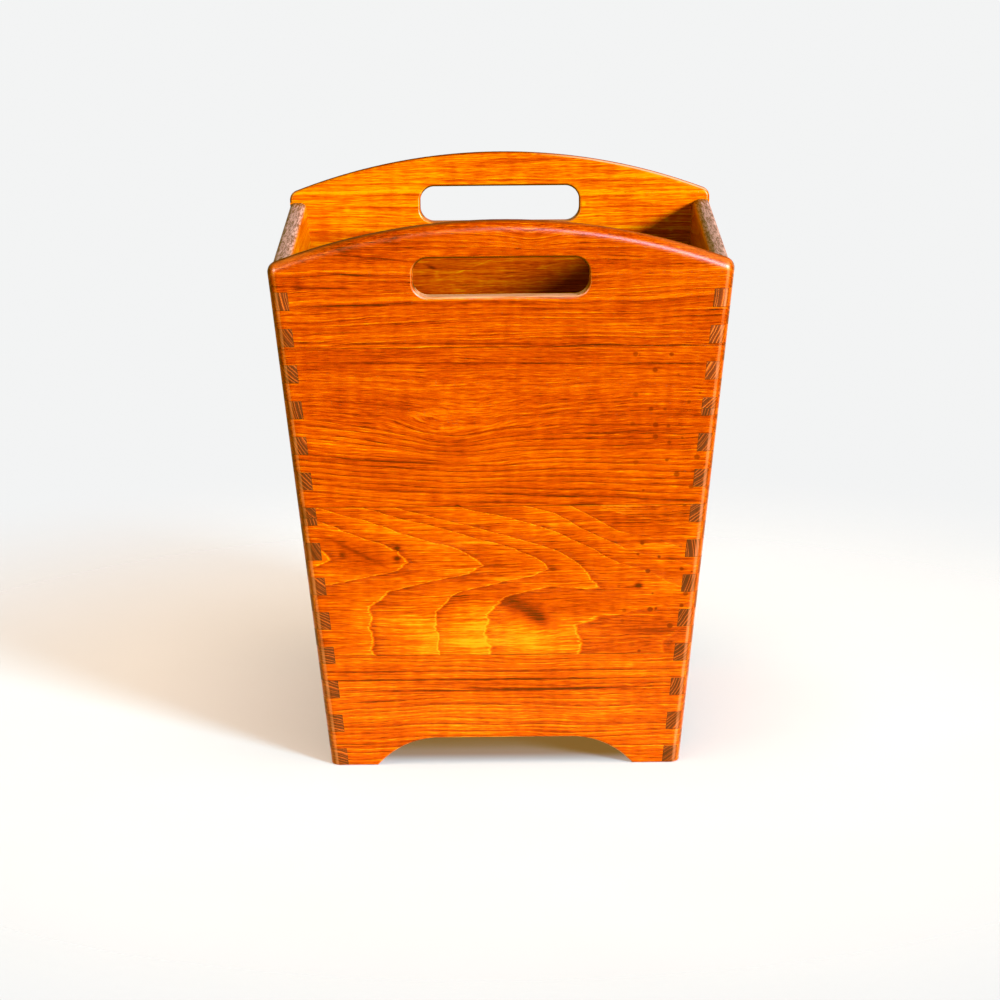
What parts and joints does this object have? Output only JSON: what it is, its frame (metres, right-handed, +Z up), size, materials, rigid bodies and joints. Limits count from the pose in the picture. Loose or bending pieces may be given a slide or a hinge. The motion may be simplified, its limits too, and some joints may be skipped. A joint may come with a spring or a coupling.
{
  "type": "wastebasket",
  "caption": "Square, splayed solid-teak wastebasket with finger-jointed corners, arched handle panels with hand slots, plain lower sides and arched feet.",
  "frame": {"origin": "on the floor, in the middle between the four feet", "axes": "+Z up; -Y out of the front handle panel; +X towards the right side panel"},
  "size_m": [0.313, 0.3184, 0.3905],
  "materials": {
    "teak_front": "satin oiled teak, orange",
    "teak_back": "satin oiled teak, orange",
    "teak_sides": "satin oiled teak, orange, greyer on the worn top edges",
    "bottom": "thinly oiled teak"
  },
  "bodies": {
    "root": {"front_handle_board": "teak_front", "front_upper_board": "teak_front", "front_middle_board": "teak_front", "front_foot_board": "teak_front", "back_handle_board": "teak_back", "back_upper_board": "teak_back", "back_middle_board": "teak_back", "back_foot_board": "teak_back", "left_top_board": "teak_sides", "left_upper_board": "teak_sides", "left_lower_board": "teak_sides", "left_foot_board": "teak_sides", "right_top_board": "teak_sides", "right_upper_board": "teak_sides", "right_lower_board": "teak_sides", "right_foot_board": "teak_sides", "base_front_board": "bottom", "base_middle_board": "bottom", "base_rear_board": "bottom"}
  },
  "joints": []
}
